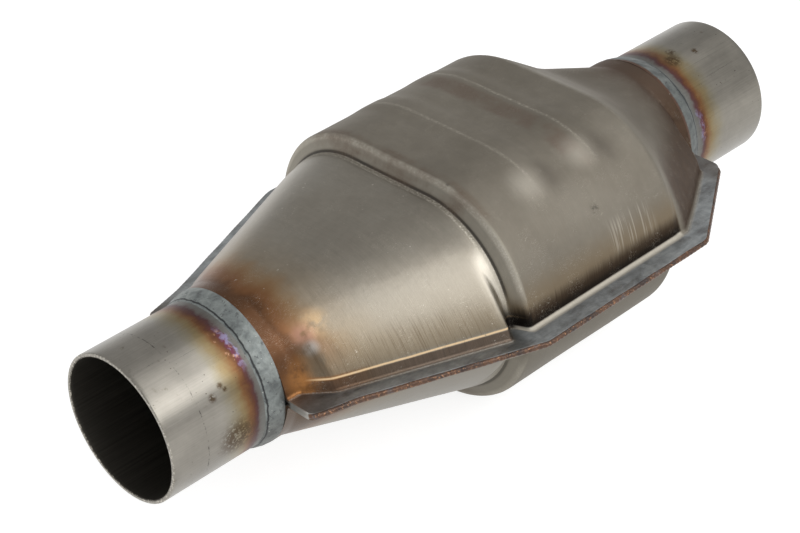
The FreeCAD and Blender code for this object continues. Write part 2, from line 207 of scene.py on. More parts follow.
def spread(line, count):
    """Evenly spaced points along a polyline, its ends included."""
    lengths = lengths_along(line)
    return point_at(line, lengths, np.linspace(0, lengths[-1], count))


def new_object(name, vertices, faces, body="root", smooth_angle=40):
    """A mesh object from vertices in millimetres, smooth apart from edges sharper than the angle."""
    mesh = bpy.data.meshes.new(name)
    mesh.from_pydata([tuple(v) for v in np.asarray(vertices) * METRES], [], faces)
    mesh.validate()
    mesh.shade_smooth()
    mesh.set_sharp_from_angle(angle=math.radians(smooth_angle))
    piece = bpy.data.objects.new(name, mesh)
    bpy.context.scene.collection.objects.link(piece)
    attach(piece, body)
    return piece


def add_attribute(piece, name, values):
    """A vector on each point of a piece, for its material to read."""
    attribute = piece.data.attributes.new(name, "FLOAT_VECTOR", "POINT")
    attribute.data.foreach_set("vector", np.asarray(values, float).ravel())


def grid_faces(rows, columns, offset=0, flip=False, rows_close=False, columns_close=False):
    """Quads between neighbouring rows and columns of a grid of vertices, which may close in a ring."""
    faces = []
    for row in range(rows if rows_close else rows - 1):
        here = offset + row * columns
        following = offset + (row + 1) % rows * columns
        for column in range(columns if columns_close else columns - 1):
            beside = (column + 1) % columns
            a, b, c, d = here + column, here + beside, following + beside, following + column
            faces.append((a, d, c, b) if flip else (a, b, c, d))
    return faces


def arc(centre, radius, start, end, count):
    """Points of a flat circle from one angle to another."""
    angles = np.linspace(start, end, count)
    return centre + radius * np.column_stack([np.cos(angles), np.sin(angles)])


def grid_normals(grid):
    """Unit normals of a grid of points."""
    along = np.gradient(grid, axis=0)
    across = np.gradient(grid, axis=1)
    normal = np.cross(along, across)
    return normal / np.maximum(np.linalg.norm(normal, axis=2, keepdims=True), 1e-9)


# Half shell

BALL_SEARCH = 60.0
BALL_HALVINGS = 36


def wall_line(radius, half_flat, foot, top, lean):
    """Wall of one section from the split plane to ARCH_SPLIT: skirt, its rounded edge, bulged flank, arch."""
    centre = np.array([half_flat, 0.0])
    skirt_foot = np.array([foot, 0.0])
    skirt_top = np.array([foot - lean, top])
    arm = skirt_top - centre
    reach = max(np.linalg.norm(arm), radius)
    arm_angle = math.atan2(arm[1], arm[0])
    touch = arm_angle + math.acos(radius / reach)
    blend = min(touch + BULGE_TURN, ARCH_LIMIT)
    shadow = reach * math.cos(blend - arm_angle)
    bulge = (reach ** 2 + radius ** 2 - 2 * radius * shadow) / (2 * (radius - shadow))
    hub = arc(centre, radius - bulge, blend, blend, 1)[0]
    low_angle = math.atan2(skirt_top[1] - hub[1], skirt_top[0] - hub[0])
    flank = arc(hub, bulge, low_angle, blend, FLANK_STEPS)
    arch = arc(centre, radius, blend, ARCH_SPLIT, ARCH_STEPS)[1:]
    skirt = np.linspace(skirt_foot, skirt_top, SKIRT_STEPS)[:-1]
    line = np.vstack([skirt, flank, arch])

    # The skirt's top edge is rounded
    lengths = lengths_along(line)
    corner = lengths[len(skirt)]
    skirt_way = (skirt_foot - skirt_top) / np.linalg.norm(skirt_foot - skirt_top)
    flank_way = (flank[1] - flank[0]) / np.linalg.norm(flank[1] - flank[0])
    half_turn = (math.pi - math.acos(np.clip(skirt_way @ flank_way, -1, 1))) / 2
    bend = min(SKIRT_ROUNDING * math.tan(half_turn), 0.6 * corner, 0.4 * (lengths[-1] - corner))
    start, end = point_at(line, lengths, np.array([corner - bend, corner + bend]))
    middle = line[len(skirt)]
    shares = np.linspace(0, 1, ROUNDING_STEPS)
    rounding = [start * (1 - t) ** 2 + 2 * middle * t * (1 - t) + end * t ** 2 for t in shares]
    before = line[lengths < corner - bend]
    after = line[lengths > corner + bend]
    return spread(np.vstack([before, rounding, after]), WALL_MARKS)


def crease_ball(line, level, radius):
    """Where a ball rests on the flange and the wall: its centre and the index of its point on the wall."""
    height = level + radius
    low = line[0, 0]
    high = low + BALL_SEARCH
    for _ in range(BALL_HALVINGS):
        middle = (low + high) / 2
        gap = np.min(np.hypot(line[:, 0] - middle, line[:, 1] - height))
        if gap > radius:
            high = middle
        else:
            low = middle
    index = int(np.argmin(np.hypot(line[:, 0] - high, line[:, 1] - height)))
    return np.array([high, height]), index


def shell_section(radius, half_flat, foot, top, lean, edge, rib):
    """One section of the upper shell's outer face, from the flange's edge inwards, as (y, z, distance)."""
    centre = np.array([half_flat, 0.0])
    wall = wall_line(radius, half_flat, foot, top, lean)
    ball, index = crease_ball(wall, SHEET, CREASE_ROUNDING)
    contact = wall[index]
    end_angle = math.atan2(contact[1] - ball[1], contact[0] - ball[0])
    if end_angle > 0:
        end_angle -= 2 * math.pi
    flange = np.linspace((edge, SHEET), (ball[0], SHEET), FLANGE_COLUMNS + 1)[:-1]
    crease = arc(ball, CREASE_ROUNDING, -math.pi / 2, end_angle, CREASE_COLUMNS)
    climb = spread(wall[index:], WALL_COLUMNS + 1)[1:]
    arch = arc(centre, radius, ARCH_SPLIT, math.pi / 2, ARCH_COLUMNS + 1)[1:]
    flat = np.linspace((half_flat, radius), (0.0, radius), FLAT_COLUMNS + 1)[1:]
    section = np.vstack([flange, crease, climb, arch, flat])

    # The rib swells out from the arch's middle
    arms = section - centre
    from_crown = np.arctan2(np.maximum(arms[:, 0], 0), arms[:, 1])
    swell = rib * (1 - smooth_step(from_crown, RIB_FADE_START, RIB_FADE_END))
    ways = np.column_stack([np.sin(from_crown), np.cos(from_crown)])
    distance = lengths_along(section)
    distance -= distance[len(flange)]
    return np.column_stack([section + ways * swell[:, None], distance])


def rib_rise(place):
    """Height of the ribs over the crown at a place along the body."""
    rise = 0.0
    for middle in RIB_MIDDLES:
        rise += RIB_HEIGHT * (1 - float(smooth_step(abs(place - middle), RIB_CREST_HALF, RIB_FOOT_HALF)))
    return rise


def flange_edge(place):
    """Distance of the sheet's edge from the middle, with rounded ends and without the weld bead."""
    places, reaches = zip(*FLANGE_EDGE)
    nearby = place + np.linspace(-FLANGE_BLEND, FLANGE_BLEND, 9)
    reach = np.mean(np.interp(nearby, places, reaches))
    edge = min(reach, FLANGE_REACH) - SEAM_WIDTH
    from_end = max(0.0, min(place - SHELL_START, SHELL_END - place))
    if from_end < CORNER_ROUNDING:
        edge -= CORNER_ROUNDING - math.sqrt(CORNER_ROUNDING ** 2 - (CORNER_ROUNDING - from_end) ** 2)
    return edge


def shell_stations():
    """Places along the shell and the arch radius there."""
    crown = [(station[0], station[1]) for station in STATIONS]
    line = rounded_line(crown, CROWN_ROUNDINGS, STATION_PITCH, CORNER_STEPS)
    extra = [SHELL_START + step for step in (0.15, 0.4, 0.8)]
    extra += [SHELL_END - step for step in (0.15, 0.4, 0.8)]
    for start, end, pitch in FINE_STRETCHES:
        extra += list(np.arange(start, end, pitch))
    places = np.unique(np.round(np.concatenate([line[:, 0], extra]), 3))
    keep = np.concatenate([[True], np.diff(places) > 0.12])
    keep[-1] = True
    places = places[keep]
    return places, np.interp(places, line[:, 0], line[:, 1])


def sheet_waves(place, across, height):
    """Slight unevenness of stamped sheet, in millimetres."""
    return WAVE_HEIGHT * np.sin(place / 9.0 + across / 17.0) * np.sin(across / 11.0 + height / 13.0 + 1.3)


# Codes of a shell's faces in its attribute
GAS_SIDE = 0
OUTER_UP = 1
OUTER_DOWN = 2


def build_shell(name, upward):
    """A half shell of constant thickness: outer face, inner face and the edge between them.

    Its attribute holds the place along the shell, the distance from the crease and the face's code.
    """
    places, radii = shell_stations()
    table = np.array(STATIONS)
    rows = []
    for place, radius in zip(places, radii):
        nearby = place + np.linspace(-SKIRT_BLEND, SKIRT_BLEND, 7)
        values = [float(np.mean(np.interp(nearby, table[:, 0], table[:, column]))) for column in range(2, 6)]
        half_flat, foot, top, lean = values
        foot = max(foot, half_flat + radius)
        half = shell_section(radius, half_flat, foot, top, lean, flange_edge(place), rib_rise(place))
        right = np.column_stack([-half[:, 0], half[:, 1], half[:, 2]])
        rows.append(np.vstack([right, half[:-1][::-1]]))
    rows = np.array(rows)
    row_count, column_count = rows.shape[:2]
    along = np.repeat(places[:, None], column_count, axis=1)
    outer = np.dstack([along, rows[:, :, 0], rows[:, :, 1]])
    normals = grid_normals(outer)
    if normals[row_count // 2, column_count // 2, 2] < 0:
        normals = -normals
    above = smooth_step(outer[:, :, 2], SHEET + 3, SHEET + 12)
    waves = sheet_waves(outer[:, :, 0], outer[:, :, 1], outer[:, :, 2]) * above
    inner = outer - normals * SHEET
    inner[:, :, 2] = np.maximum(inner[:, :, 2], 0)
    inner[:, :, 0] = outer[:, :, 0]
    outer = outer + normals * (waves - WAVE_HEIGHT)[:, :, None]
    code = OUTER_UP if upward else OUTER_DOWN
    sheet = np.dstack([outer[:, :, 0], rows[:, :, 2], np.full_like(along, code)])
    inside = sheet.copy()
    inside[:, :, 2] = GAS_SIDE
    if not upward:
        outer[:, :, 2] *= -1
        inner[:, :, 2] *= -1
    vertices = np.vstack([outer.reshape(-1, 3), inner.reshape(-1, 3)])
    count = row_count * column_count
    faces = grid_faces(row_count, column_count, 0, flip=upward)
    faces += grid_faces(row_count, column_count, count, flip=not upward)
    index = np.arange(count).reshape(row_count, column_count)
    ring = np.concatenate([index[0], index[1:, -1], index[-1, -2::-1], index[-2:0:-1, 0]]).tolist()
    for a, b in zip(ring, ring[1:] + ring[:1]):
        quad = (a, b, b + count, a + count)
        faces.append(quad[::-1] if upward else quad)
    piece = new_object(name, vertices, faces)
    add_attribute(piece, "sheet", np.vstack([sheet.reshape(-1, 3), inside.reshape(-1, 3)]))
    return piece


# Turned pieces

def revolve(name, profile, segments, shift=None):
    """A closed (x, r) profile turned about the pipe axis. shift(x, r, angle) may move its points."""
    profile = np.array(profile, float)
    columns = len(profile)
    grid = np.empty((segments, columns, 3))
    for index in range(segments):
        angle = index * 2 * math.pi / segments
        places, radii = profile.T
        if shift:
            places, radii = shift(places, radii, angle)
        grid[index] = np.column_stack([places, radii * math.cos(angle), radii * math.sin(angle)])
    faces = grid_faces(segments, columns, rows_close=True, columns_close=True)
    return new_object(name, grid.reshape(-1, 3), faces)


def build_pipe(name, low, high):
    """A stub tube whose four rims are slightly rounded."""
    start, end = low[0], high[0]
    outer = PIPE_RADIUS
    inner = PIPE_RADIUS - PIPE_WALL
    rim = PIPE_EDGE_ROUNDING
    quarter = math.pi / 2
    places = np.linspace(start + rim, end - rim, PIPE_STEPS)[1:-1]
    outline = [
        *arc((start + rim, outer - rim), rim, 2 * quarter, quarter, PIPE_RIM_STEPS),
        *[(x, outer) for x in places],
        *arc((end - rim, outer - rim), rim, quarter, 0, PIPE_RIM_STEPS),
        *arc((end - rim, inner + rim), rim, 0, -quarter, PIPE_RIM_STEPS),
        *[(x, inner) for x in places[::-1]],
        *arc((start + rim, inner + rim), rim, -quarter, -2 * quarter, PIPE_RIM_STEPS),
    ]
    return revolve(name, outline, PIPE_SEGMENTS)


# How a ring bead climbs: turn and power of its sine, then where its edge at the neck drops and by how much
BEAD_RISE_TURN = 1.15
BEAD_RISE_POWER = 0.85
BEAD_EDGE_SHARE = 0.94
BEAD_EDGE_DROP = 0.35
BEAD_FOOT = 0.4


def bead_profile(start, end, crown, side):
    """Flat conical bead from the pipe up to the neck, then down to the pipe inside the shell's end."""
    top = []
    for t in np.linspace(0, 1, BEAD_STEPS):
        rise = math.sin(min(1.0, t * BEAD_RISE_TURN) * math.pi / 2) ** BEAD_RISE_POWER
        if t > BEAD_EDGE_SHARE:
            rise *= 1 - BEAD_EDGE_DROP * (t - BEAD_EDGE_SHARE) / (1 - BEAD_EDGE_SHARE)
        top.append((start + (end - start) * t, PIPE_RADIUS + (crown - PIPE_RADIUS) * rise))
    outline = top + [(end, PIPE_RADIUS + BEAD_FOOT), (start, PIPE_RADIUS)]
    if side < 0:
        outline = [(start + end - x, r) for x, r in outline][::-1]
    return outline


def build_bead(name, low, high, side, phase):
    """A ring bead with a wandering toe and small ripples. Its attribute holds the share of the way up it."""
    crown = high[2] - 0.12
    neck = SHELL_START if side > 0 else SHELL_END

    def shift(places, radii, angle):
        wander = 0.25 * math.sin(angle * 7 + phase) + 0.15 * math.sin(angle * 23 + 2 * phase)
        middle = (low[0] + high[0]) / 2
        stretch = 0.96 + 0.03 * math.sin(angle * 5 + phase)
        places = middle + (places - middle) * stretch + wander * 0.3
        places = np.minimum(places, neck) if side > 0 else np.maximum(places, neck)
        raised = np.clip((radii - PIPE_RADIUS - 0.2) / 1.0, 0, 1) * np.clip(abs(places - neck) / 2.0, 0, 1)
        ripple = 0.03 * np.sin(angle * 53 + places * 0.8) + 0.05 * np.sin(angle * 31 - places * 1.7 + phase)
        return places, radii + raised * ripple

    piece = revolve(name, bead_profile(low[0], high[0], crown, side), BEAD_SEGMENTS, shift)
    shares = list(np.linspace(0, 1, BEAD_STEPS)) + [1.0, 0.0]
    if side < 0:
        shares = shares[::-1]
    values = np.zeros((BEAD_SEGMENTS, len(shares), 3))
    values[:, :, 0] = shares
    add_attribute(piece, "bead", values.reshape(-1, 3))
    return piece


# Seam beads

SEAM_RIPPLE = 1.9


def build_seam(name, side):
    """Fused bead along the flange's edge, with fine cross ripples."""
    ends = (SHELL_START + 0.15, SHELL_END - 0.15)
    places = np.arange(ends[0], ends[1], SEAM_PITCH)
    steps = SEAM_STEPS
    grid = np.empty((len(places), steps, 3))
    for index, place in enumerate(places):
        edge = flange_edge(place)
        fade = min(1.0, (place - ends[0]) / 1.5 + 0.35, (ends[1] - place) / 1.5 + 0.35)
        ripple = 0.5 + 0.5 * math.sin(place * 2 * math.pi / SEAM_RIPPLE + 0.8 * math.sin(place / 5.0))
        width = SEAM_WIDTH * (0.84 + 0.12 * ripple) * fade
        height = SEAM_HEIGHT * (0.90 + 0.08 * math.sin(place / 3.1)) * (0.6 + 0.4 * fade)
        for step in range(steps):
            angle = math.pi * step / (steps - 1) - math.pi / 2
            reach = edge - 0.1 + width * math.cos(angle)
            grid[index, step] = (place, side * reach, height * math.sin(angle))
    flip = side > 0
    faces = grid_faces(len(places), steps, flip=flip, columns_close=True)
    first = tuple(range(steps))
    last = tuple((len(places) - 1) * steps + column for column in range(steps))
    faces.append(first if flip else first[::-1])
    faces.append(last[::-1] if flip else last)
    return new_object(name, grid.reshape(-1, 3), faces)


# Ceramic brick

CELL_PITCH = 1.45
CELL_WALL = 0.32
CELL_DEPTH = 3.0


def brick_outline(radius, half_flat):
    """The brick's oval, as (y, z) points."""
    points = []
    for side in (1, -1):
        for angle in np.linspace(-math.pi / 2, math.pi / 2, BRICK_OUTLINE_STEPS):
            points.append((side * (half_flat + radius * math.cos(angle)), side * radius * math.sin(angle)))
    return points


def inside_oval(y, z, radius, half_flat):
    """The point itself, or the nearest point of the oval where it lies outside."""
    middle = max(-half_flat, min(half_flat, y))
    arm = math.hypot(y - middle, z)
    if arm <= radius:
        return y, z
    return middle + (y - middle) * radius / arm, z * radius / arm


def build_brick(name):
    """Oval ceramic brick with a lattice of square channels at both ends."""
    radius = brick_high[2]
    half_flat = brick_high[1] - radius
    vertices = []
    outline = brick_outline(radius, half_flat)
    ends = ((brick_low[0], 1), (brick_high[0], -1))
    for place, _ in ends:
        vertices += [(place, y, z) for y, z in outline]
    count = len(outline)
    faces = grid_faces(2, count, columns_close=True)
    for place, way in ends:
        bottom = len(vertices)
        vertices += [(place + way * CELL_DEPTH, y, z) for y, z in outline]
        faces.append(tuple(range(bottom, bottom + count))[::-way])
    half = CELL_PITCH / 2
    hole = (CELL_PITCH - CELL_WALL) / 2
    columns = int((half_flat + radius) / CELL_PITCH) + 1
    rows = int(radius / CELL_PITCH) + 1
    corners = ((-1, -1), (1, -1), (1, 1), (-1, 1))
    for row in range(-rows, rows + 1):
        for column in range(-columns, columns + 1):
            y, z = column * CELL_PITCH, row * CELL_PITCH
            if inside_oval(y, z, radius, half_flat) != (y, z):
                continue
            border = [inside_oval(y + half * a, z + half * b, radius, half_flat) for a, b in corners]
            rim = radius - CELL_WALL
            mouth = [inside_oval(y + hole * a, z + hole * b, rim, half_flat) for a, b in corners]
            for place, way in ends:
                first = len(vertices)
                vertices += [(place, a, b) for a, b in border]
                vertices += [(place, a, b) for a, b in mouth]
                vertices += [(place + way * CELL_DEPTH, a, b) for a, b in mouth]
                faces += grid_faces(3, 4, first, flip=way > 0, columns_close=True)
    return new_object(name, vertices, faces, smooth_angle=30)


upper = build_shell("upper_half_shell", True)
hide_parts("upper_shell")
lower = build_shell("lower_half_shell", False)
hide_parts("lower_shell")

near_pipe = build_pipe("inlet_stub", pipe_low, pipe_high)
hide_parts("inlet_pipe")
far_pipe = build_pipe("outlet_stub", far_low, far_high)
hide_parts("outlet_pipe")

near_bead = build_bead("inlet_ring_bead", bead_low, bead_high, 1, 0.4)
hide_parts("inlet_weld")
far_bead = build_bead("outlet_ring_bead", far_bead_low, far_bead_high, -1, 2.1)
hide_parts("outlet_weld")

right_seam = build_seam("right_seam_bead", -1)
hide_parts("seam_weld_right")
left_seam = build_seam("left_seam_bead", 1)
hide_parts("seam_weld_left")

brick = build_brick("honeycomb_brick")
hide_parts("catalyst_brick")


# Materials

def feed(tree, socket, value):
    """Links a socket to a node's output, or sets a number or a colour."""
    if isinstance(value, bpy.types.NodeSocket):
        tree.links.new(value, socket)
    elif socket.type == "RGBA":
        socket.default_value = (*value, 1) if isinstance(value, tuple) else (value, value, value, 1)
    else:
        socket.default_value = value


def add_node(tree, kind, inputs, **settings):
    """A new shader node with these inputs and settings."""
    node = tree.nodes.new("ShaderNode" + kind)
    for name, value in settings.items():
        setattr(node, name, value)
    for key, value in inputs.items():
        feed(tree, node.inputs[key], value)
    return node


class Surface:
    """A material, with short ways to add nodes to it. Its colour is painted on in layers."""

    def __init__(self, name, metallic, roughness):
        self.material = bpy.data.materials.new(name)
        self.material.use_nodes = True
        self.tree = self.material.node_tree
        self.shader = self.tree.nodes["Principled BSDF"]
        self.shader.inputs["Metallic"].default_value = metallic
        self.shader.inputs["Roughness"].default_value = roughness
        place = self.node("TexCoord", {}).outputs["Object"]
        self.place = self.stretch(place, (1 / METRES, 1 / METRES, 1 / METRES))
        self.x, self.y, self.z = self.parts(self.place)
        self.colour = None

    def node(self, kind, inputs, **settings):
        return add_node(self.tree, kind, inputs, **settings)

    def parts(self, vector):
        return self.node("SeparateXYZ", {0: vector}).outputs

    def attribute(self, name):
        return self.parts(self.node("Attribute", {}, attribute_name=name).outputs["Vector"])

    def join(self, x, y, z):
        return self.node("CombineXYZ", {0: x, 1: y, 2: z}).outputs[0]

    def stretch(self, vector, scale, shift=(0.0, 0.0, 0.0)):
        return self.node("Mapping", {"Vector": vector, "Scale": scale, "Location": shift}).outputs[0]

    def maths(self, operation, first, second=0.0):
        return self.node("Math", {0: first, 1: second}, operation=operation).outputs[0]

    def times(self, *values):
        product = values[0]
        for value in values[1:]:
            product = self.maths("MULTIPLY", product, value)
        return product

    def plus(self, *values):
        total = values[0]
        for value in values[1:]:
            total = self.maths("ADD", total, value)
        return total

    def level(self, value, factor, offset):
        """A value times a factor, plus an offset."""
        return self.plus(self.times(value, factor), offset)

    def away(self, value, middle):
        """Distance of a value from a middle."""
        return self.maths("ABSOLUTE", self.maths("SUBTRACT", value, middle))

    def smooth(self, value, low, high):
        """0 at low and 1 at high, smooth between; low may be the larger one."""
        ends = (low, high, 0.0, 1.0) if high > low else (high, low, 1.0, 0.0)
        inputs = dict(zip(("From Min", "From Max", "To Min", "To Max"), ends), Value=value)
        return self.node("MapRange", inputs, interpolation_type="SMOOTHSTEP").outputs[0]

    def between(self, value, low, high, soft):
        """1 from low to high, with soft ends outside them."""
        return self.times(self.smooth(value, low - soft, low), self.smooth(value, high + soft, high))

    def noise(self, vector, scale, detail=3.0, rough=0.6, bend=0.0, shift=(0.0, 0.0, 0.0)):
        """Noise between 0 and 1; a scale with three parts stretches it, and shift moves it."""
        if isinstance(scale, tuple):
            vector, scale = self.stretch(vector, scale, shift), 1.0
        inputs = {"Vector": vector, "Scale": scale, "Detail": detail, "Roughness": rough, "Distortion": bend}
        return self.node("TexNoise", inputs).outputs["Fac"]

    def wander(self, vector, scale, amount):
        """A value that wanders by plus or minus about half the amount."""
        return self.times(self.plus(self.noise(vector, scale, 4.0, 0.6), -0.5), amount)

    def mix(self, share, first, second):
        return self.node("Mix", {0: share, 6: first, 7: second}, data_type="RGBA").outputs[2]

    def paint(self, colour, *shares):
        """Lays a colour over the one so far, by the product of the shares."""
        self.colour = self.mix(self.times(*shares), self.colour, colour)

    def shade(self, colour, amount):
        """A colour times a grey amount or another colour."""
        inputs = {0: 1.0, 6: colour, 7: amount}
        return self.node("Mix", inputs, data_type="RGBA", blend_type="MULTIPLY").outputs[2]

    def ramp(self, value, stops):
        """Colours along a value, given as (value, colour) pairs between 0 and 1."""
        node = self.node("ValToRGB", {0: value})
        elements = node.color_ramp.elements
        while len(elements) < len(stops):
            elements.new(0.5)
        for element, (position, colour) in zip(elements, stops):
            element.position = position
            element.color = (*colour, 1)
        return node.outputs[0]

    def spot(self, centre, radius, soft):
        """1 within a radius of a point of the object, in millimetres."""
        node = self.node("VectorMath", {0: self.place, 1: centre}, operation="DISTANCE")
        return self.smooth(node.outputs["Value"], radius + soft, radius)

    def finish(self, roughness, height, relief):
        """Connects colour, roughness and a bump of that relief in millimetres."""
        feed(self.tree, self.shader.inputs["Base Color"], self.colour)
        if roughness is not None:
            feed(self.tree, self.shader.inputs["Roughness"], roughness)
        bump = self.node("Bump", {"Strength": 1.0, "Distance": relief * METRES, "Height": height})
        feed(self.tree, self.shader.inputs["Normal"], bump.outputs["Normal"])
        return self.material


SOOT = (0.012, 0.010, 0.009)
DARK_BROWN = (0.040, 0.024, 0.015)
RUST = (0.19, 0.080, 0.034)
AMBER = (0.27, 0.155, 0.070)
BRIGHT = (0.62, 0.58, 0.50)
GROUND = (0.05, 0.045, 0.04)

# Marks where the near cone was heated most, amber, gold and pink heat colours, the gold and pink ones bright
# as painted highlights, and a white painted highlight: place, radius, soft edge, range of the noise that
# breaks them up, share and colour
HEAT_AND_HIGHLIGHT_MARKS = [
    ((57.0, -32.0, 4.0), 4.0, 10.0, -0.30, 0.12, 0.8, (0.44, 0.20, 0.065)),
    ((64.0, -25.0, 20.0), 1.0, 6.0, -0.20, 0.08, 0.7, (0.62, 0.43, 0.24)),
    ((59.0, -26.0, 18.5), 0.5, 5.5, -0.25, 0.05, 0.6, (0.50, 0.25, 0.19)),
    ((58.9, -29.4, 14.6), 0.3, 3.6, -0.28, 0.00, 0.75, (0.56, 0.55, 0.54)),
]

# Plain sheet of the body and of the cone, along a slow noise
BODY_TONES = [(0.30, (0.205, 0.184, 0.150)), (0.52, (0.235, 0.212, 0.174)), (0.75, (0.265, 0.242, 0.202))]
CONE_TONES = [(0.30, (0.235, 0.214, 0.178)), (0.52, (0.265, 0.243, 0.204)), (0.75, (0.290, 0.270, 0.232))]
FLANGE_TONES = [(0.28, (0.175, 0.175, 0.175)), (0.48, (0.315, 0.332, 0.338)), (0.70, (0.43, 0.45, 0.455))]

# Dark marks of the body (place, size), painted highlights on the ends of the ribs and painted shade behind
# them
BODY_MARKS = (((127.9, -25.1, 43.7), 0.8), ((170.0, -54.2, 26.3), 2.2))
RIB_END_HIGHLIGHTS = ((151.2, -39.9, 39.4), (178.0, -39.2, 39.7))
RIB_END_SHADES = ((161.0, -41.5, 39.5), (188.5, -41.5, 39.0))

# Worn lines with painted highlights along the ribs and the body's end: place and strength
WORN_AND_HIGHLIT_LINES = ((RIB_MIDDLES[0] - 2.2, 0.38), (RIB_MIDDLES[1] - 0.2, 0.42), (BODY_END - 0.2, 0.22))


def shell_finish():
    """Stamped stainless sheet: brushed, tinted by the welds, sooty along the crease, blue-grey flange."""
    s = Surface("stamped stainless sheet", 1.0, 0.4)
    along, distance, side = s.attribute("sheet")

    def fade(first, last):
        """0 at the first distance from the crease, 1 at the last."""
        return s.smooth(distance, first, last)

    def zone(start, end, soft):
        """1 between two places along the shell."""
        return s.between(along, start, end, soft)

    over = s.join(along, distance, s.times(s.y, 0.01))
    grain = s.noise(over, (2.2, 0.07, 1.0), 4.0, 0.7)
    fine = s.noise(over, (6.0, 0.30, 1.0), 2.0, 0.6)
    cloud = s.noise(s.place, (0.03, 0.03, 0.03), 4.0, 0.6)
    mottle = s.noise(s.place, 0.35, 5.0, 0.65)
    patch = s.noise(s.place, (0.11, 0.11, 0.11), shift=(4.0, 2.0, 7.0))
    grime = s.plus(mottle, 0.5)
    brushed = s.plus(grain, 0.5)
    upper_side = s.smooth(side, 1.6, 1.4)
    on_cone = s.smooth(along, STEP_FOOT + 0.5, STEP_FOOT - 4)
    on_body = zone(RIM - 1.5, BODY_END + 2.0, 1.5)
    crown = fade(38, 50)

    # Plain brushed sheet, brighter on the cone, with a painted highlight across the cone's flank
    s.colour = s.mix(on_cone, s.ramp(cloud, BODY_TONES), s.ramp(cloud, CONE_TONES))
    light = s.plus(s.times(grain, 0.30), s.times(mottle, 0.26), 0.72)
    s.colour = s.shade(s.colour, light)
    # Painted highlight: a lighter band up the cone's flank
    s.paint(s.shade((0.36, 0.325, 0.27), light), on_cone, fade(44, 34), fade(4, 12), 0.6)

    # Brown breath round the ring beads
    breath = s.stretch(s.place, (0.05, 0.09, 0.09))
    near = s.plus(along, -(SHELL_START + 5.0), s.wander(breath, 1.0, 13.0))
    near = s.plus(near, s.times(fade(30, 8), -9.0))
    far = s.plus(s.maths("SUBTRACT", SHELL_END - 5.0, along), s.wander(breath, 1.0, 9.0))
    s.paint(s.shade(s.colour, (1.0, 0.82, 0.60)), s.smooth(near, 34, 4), 0.65)
    for reach, outer, inner, share, tone in (
            (near, 17, 7, 0.75, AMBER), (near, 11, 3, 0.80, RUST), (near, 4, -1, 0.70, (0.075, 0.038, 0.022)),
            (far, 22, 5, 0.55, (0.13, 0.092, 0.064)), (far, 9, 1, 0.80, (0.095, 0.048, 0.029))):
        s.paint(tone, s.smooth(reach, outer, inner), share)

    # Colours where the near cone was heated most, with painted highlights in gold, pink and white
    blush = s.plus(s.noise(s.place, 0.26, 4.0, 0.6), -0.5)
    for centre, radius, soft, low, high, share, tone in HEAT_AND_HIGHLIGHT_MARKS:
        s.paint(tone, s.spot(centre, radius, soft), s.smooth(blush, low, high), share)
    s.paint((0.05, 0.055, 0.065), s.spot((59.9, -32.9, 11.3), 0.4, 2.6), s.smooth(mottle, 0.40, 0.55), 0.75)

    # Body: soot rises from the crease, amber above it
    streaky = s.plus(s.noise(over, (1.5, 0.04, 1.0), 5.0, 0.75), -0.5)
    climb = s.plus(distance, s.times(streaky, 4.0))
    band = s.times(on_body, upper_side, fade(0.8, 2.2))
    s.paint((0.21, 0.15, 0.082), band, s.smooth(climb, 22, 9), 0.60)
    s.paint(DARK_BROWN, band, s.smooth(climb, 11.0, 5.5), 0.88)
    s.paint(SOOT, band, s.smooth(climb, 6.0, 2.5), 0.80)

    # Cones: brown streaks above the skirt and painted shade darkening the flank towards it, dark hairs, brown
    # skirt with a painted gold highlight on its top edge, painted shade over the rear cone and brown low on
    # its wall
    cone_side = s.times(zone(SHELL_START + 12, STEP_FOOT - 1.5, 5.0), upper_side)
    s.paint(s.shade((0.20, 0.135, 0.075), brushed), cone_side, s.smooth(climb, 19, 7), fade(6.0, 7.2), 0.65)
    # Painted shade: the flank darker towards the skirt
    s.paint(s.shade((0.180, 0.154, 0.112), light), cone_side, fade(32, 7), fade(5.5, 6.5), 0.75)
    hairs = s.smooth(s.noise(over, (3.6, 0.06, 1.0), 3.0, 0.7), 0.48, 0.68)
    s.paint((0.085, 0.06, 0.036), cone_side, s.between(distance, 6.5, 14, 7), hairs, 0.50)
    s.paint(s.shade((0.085, 0.058, 0.042), brushed), cone_side, s.between(distance, 0.9, 4.6, 0.6), 0.85)
    nicks = s.noise(s.place, (0.8, 0.25, 0.25))
    edge = s.plus(distance, s.wander(s.place, 0.12, 0.4))
    # Painted highlight: a gold line along the skirt's rounded top edge
    gilt_highlight = s.times(cone_side, s.between(edge, 5.25, 5.5, 0.40), s.smooth(nicks, 0.26, 0.40))
    s.paint((0.82, 0.60, 0.36), gilt_highlight, 0.92)
    # Painted shade: the rear cone darker
    rear = s.smooth(along, BODY_END + 3, BODY_END + 9)
    s.paint(s.shade((0.13, 0.108, 0.086), light), rear, upper_side, 0.35)
    rear_wall = s.times(s.smooth(along, BODY_END + 3, BODY_END + 8), upper_side, fade(34, 16))
    s.paint(s.shade((0.078, 0.049, 0.032), grime), rear_wall, fade(0.8, 2.2), 0.90)

    # Soot in the notch where the cone, the step and the flange meet
    notch = zone(STEP_FOOT - 1.6, RIM + 1.0, 1.2)
    s.paint(SOOT, notch, upper_side, s.smooth(climb, 10, 4), fade(0.4, 1.6), 0.95)
